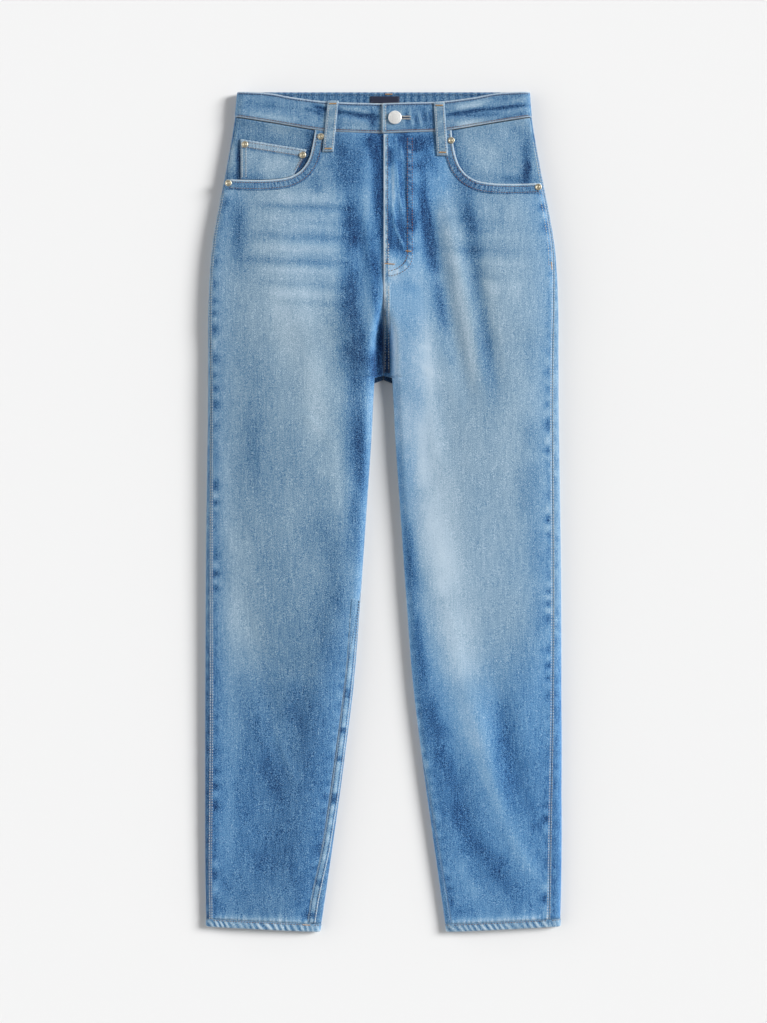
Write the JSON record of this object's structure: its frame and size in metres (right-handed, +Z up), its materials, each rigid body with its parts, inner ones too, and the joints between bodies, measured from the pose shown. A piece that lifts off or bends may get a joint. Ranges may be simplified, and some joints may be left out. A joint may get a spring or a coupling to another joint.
{
  "type": "pair of high-rise mom jeans laid flat",
  "caption": "Light blue high-rise mom jeans laid flat with the front up: open waist, tapered legs, scoop pockets, belt loops and a shank button.",
  "frame": {"origin": "middle of the footprint, on the surface that the garment lies on", "axes": "+Z up out of the front of the garment, +Y to the waist, +X to the wearer's left leg"},
  "size_m": [0.4528, 1.0676, 0.0279],
  "materials": {
    "denim": "washed mid-blue denim twill, faded on the thighs",
    "trim": "the same denim, worn paler on edges and seams",
    "rivet": "pale worn brass",
    "button": "bright plain satin metal",
    "label": "dark navy damask weave, plain"
  },
  "bodies": {
    "root": {"front_right": "denim", "front_left": "denim", "back_right": "denim", "back_left": "denim", "yoke_right": "denim", "yoke_left": "denim", "facing_right": "denim", "facing_left": "denim", "back_pocket_right": "denim", "back_pocket_left": "denim", "waistband": "denim", "coin_pocket": "trim", "hem_right": "trim", "hem_left": "trim", "loop_front_right": "trim", "loop_front_left": "trim", "loop_back_centre": "trim", "loop_back_right": "trim", "loop_back_left": "trim", "rivet_right_waist": "rivet", "rivet_right_side": "rivet", "rivet_coin_inner": "rivet", "rivet_coin_outer": "rivet", "rivet_left_waist": "rivet", "rivet_left_side": "rivet", "button": "button", "inner_label": "label"}
  },
  "joints": []
}
